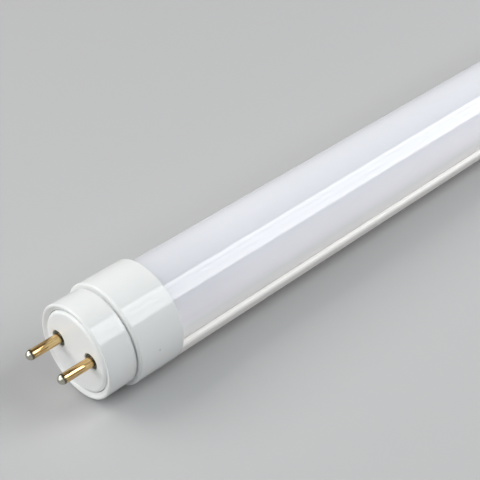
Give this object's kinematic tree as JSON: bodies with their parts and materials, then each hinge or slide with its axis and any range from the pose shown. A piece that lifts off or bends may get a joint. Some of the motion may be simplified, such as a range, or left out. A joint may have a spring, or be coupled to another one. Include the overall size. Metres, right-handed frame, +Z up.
{
  "type": "led tube lamp",
  "caption": "Straight LED tube lamp with a milky cover on a white half-round base, and moulded bi-pin end caps.",
  "frame": {"origin": "on the floor under the middle of the tube", "axes": "+X along the tube, +Z up, the milky cover upwards"},
  "size_m": [0.6088, 0.029, 0.029],
  "materials": {
    "base": "satin white coating on extruded aluminium",
    "diffuser": "milky translucent extruded plastic, glossy",
    "cap": "moulded white plastic, glossy",
    "plate": "moulded white plastic",
    "pins": "turned brass, polished, nickel bright at the tips",
    "light_board": "white solder mask on aluminium core board",
    "chips": "white package with yellow phosphor",
    "sleeve": "grey insulating film",
    "driver_board": "pressed paper circuit board",
    "black_parts": "moulded black packages and sleeves",
    "ferrite": "sintered ferrite",
    "winding": "winding under yellow tape",
    "film_box": "yellow film capacitor box",
    "fuse": "enamelled resistor body",
    "lead_white": "white wire insulation",
    "lead_black": "black wire insulation",
    "lead_red": "red wire insulation"
  },
  "bodies": {
    "root": {"base_profile": "base", "diffuser": "diffuser", "end_cap_front": "cap", "end_cap_rear": "cap", "pin_plate_front": "plate", "pin_plate_rear": "plate", "pin_front_left": "pins", "pin_front_right": "pins", "pin_rear_left": "pins", "pin_rear_right": "pins", "led_board": "light_board", "led_chips": "chips", "driver_sleeve": "sleeve", "driver_board": "driver_board", "fuse_resistor": "fuse", "filter_inductor": "ferrite", "film_capacitor": "film_box", "bridge_rectifier": "black_parts", "controller_chip": "black_parts", "output_diode": "black_parts", "input_capacitor": "black_parts", "output_capacitor": "black_parts", "transformer_core": "ferrite", "transformer_winding": "winding", "front_lead_left": "lead_white", "front_lead_right": "lead_white", "rear_pin_bridge": "lead_white", "output_lead_left": "lead_red", "output_lead_right": "lead_black"}
  },
  "joints": []
}
